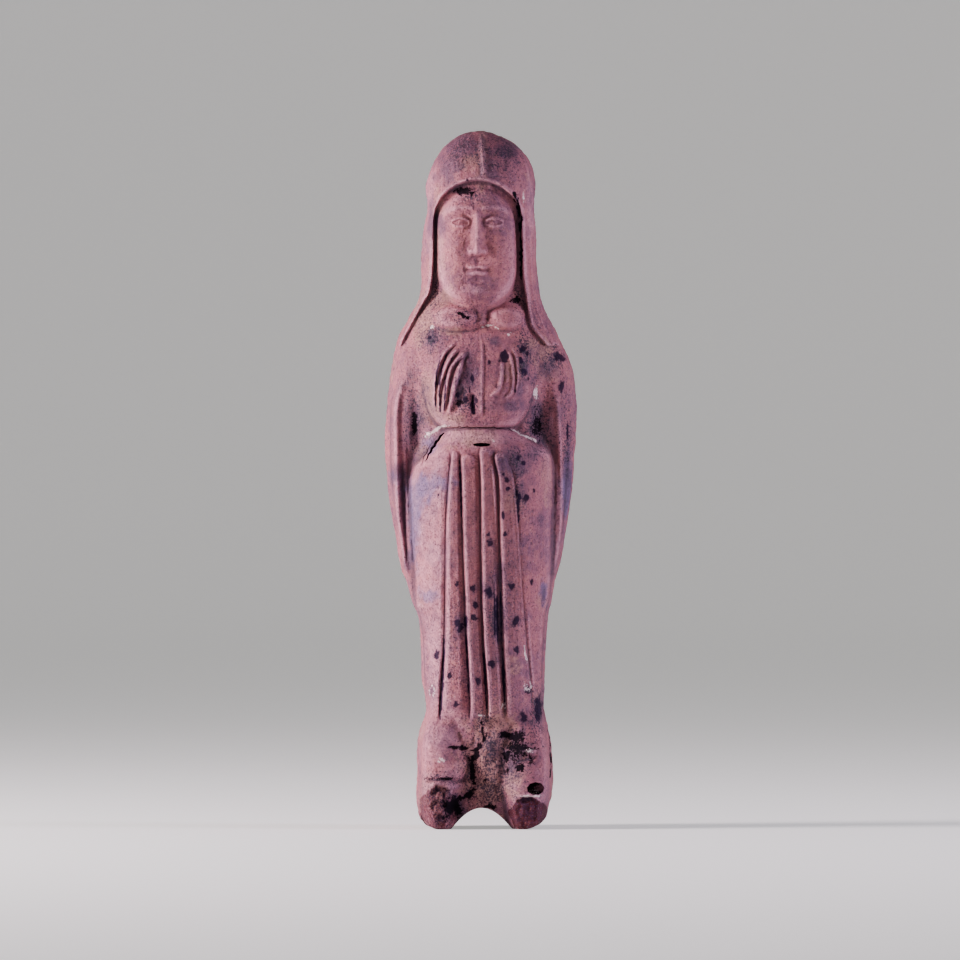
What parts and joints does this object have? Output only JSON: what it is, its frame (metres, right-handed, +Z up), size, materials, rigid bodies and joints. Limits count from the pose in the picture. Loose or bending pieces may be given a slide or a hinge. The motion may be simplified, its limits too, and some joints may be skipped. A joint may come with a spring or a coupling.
{
  "type": "standing hooded lady statuette",
  "caption": "Standing lady in a hooded veil and long cloak, hands hidden in folded sleeves, pleated skirt over blunt shoes; moulded terracotta statuette.",
  "frame": {"origin": "on the plane of the soles, below the middle of the figure's bounding box", "axes": "+Z up along the figure, -Y the way the figure faces, +X to the right for someone who looks at its face"},
  "size_m": [0.0822, 0.0604, 0.3],
  "materials": {
    "fired_clay": "matte unglazed terracotta, worn, with soot stains and pale dust"
  },
  "bodies": {
    "root": {"lady_figure": "fired_clay"}
  },
  "joints": []
}
